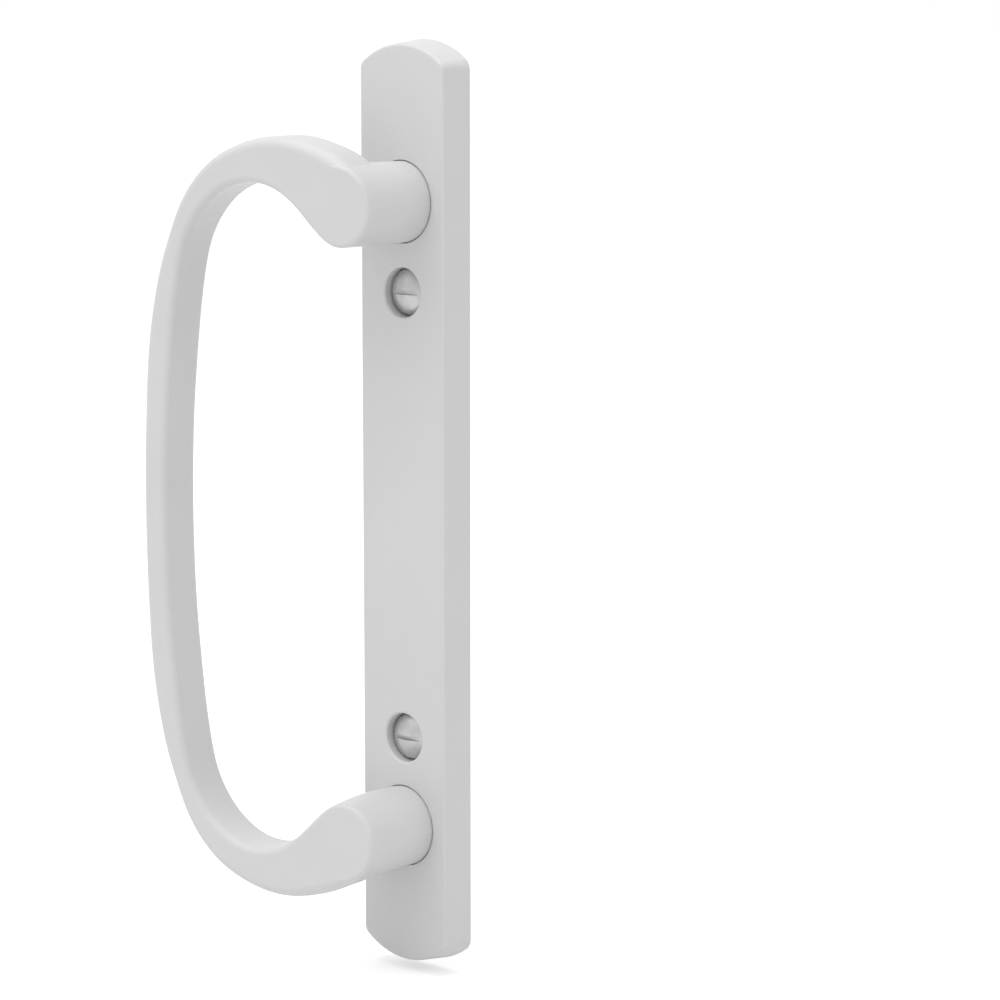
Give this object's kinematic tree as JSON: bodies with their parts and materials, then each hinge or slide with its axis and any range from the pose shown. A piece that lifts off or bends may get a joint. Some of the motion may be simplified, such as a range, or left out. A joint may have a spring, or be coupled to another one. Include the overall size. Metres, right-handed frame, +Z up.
{
  "type": "sliding patio door handle",
  "caption": "Long escutcheon plate with arched ends carrying an offset D-shaped pull on round legs, fixed to a sliding door by slotted screws.",
  "frame": {"origin": "on the door's surface behind the plate, midway between the axes of the mounting screws", "axes": "+Y points into the door, -Y towards the hand, +Z up the door and along the plate, +X across the plate away from the offset loop"},
  "size_m": [0.0667, 0.0495, 0.2071],
  "materials": {
    "white_paint": "satin powder coat on a die casting",
    "plated_steel": "bright zinc plating"
  },
  "bodies": {
    "root": {"escutcheon_plate": "white_paint", "pull_handle": "white_paint", "mounting_screw_upper": "plated_steel", "mounting_screw_lower": "plated_steel", "pull_screw_upper": "plated_steel", "pull_screw_lower": "plated_steel"}
  },
  "joints": []
}
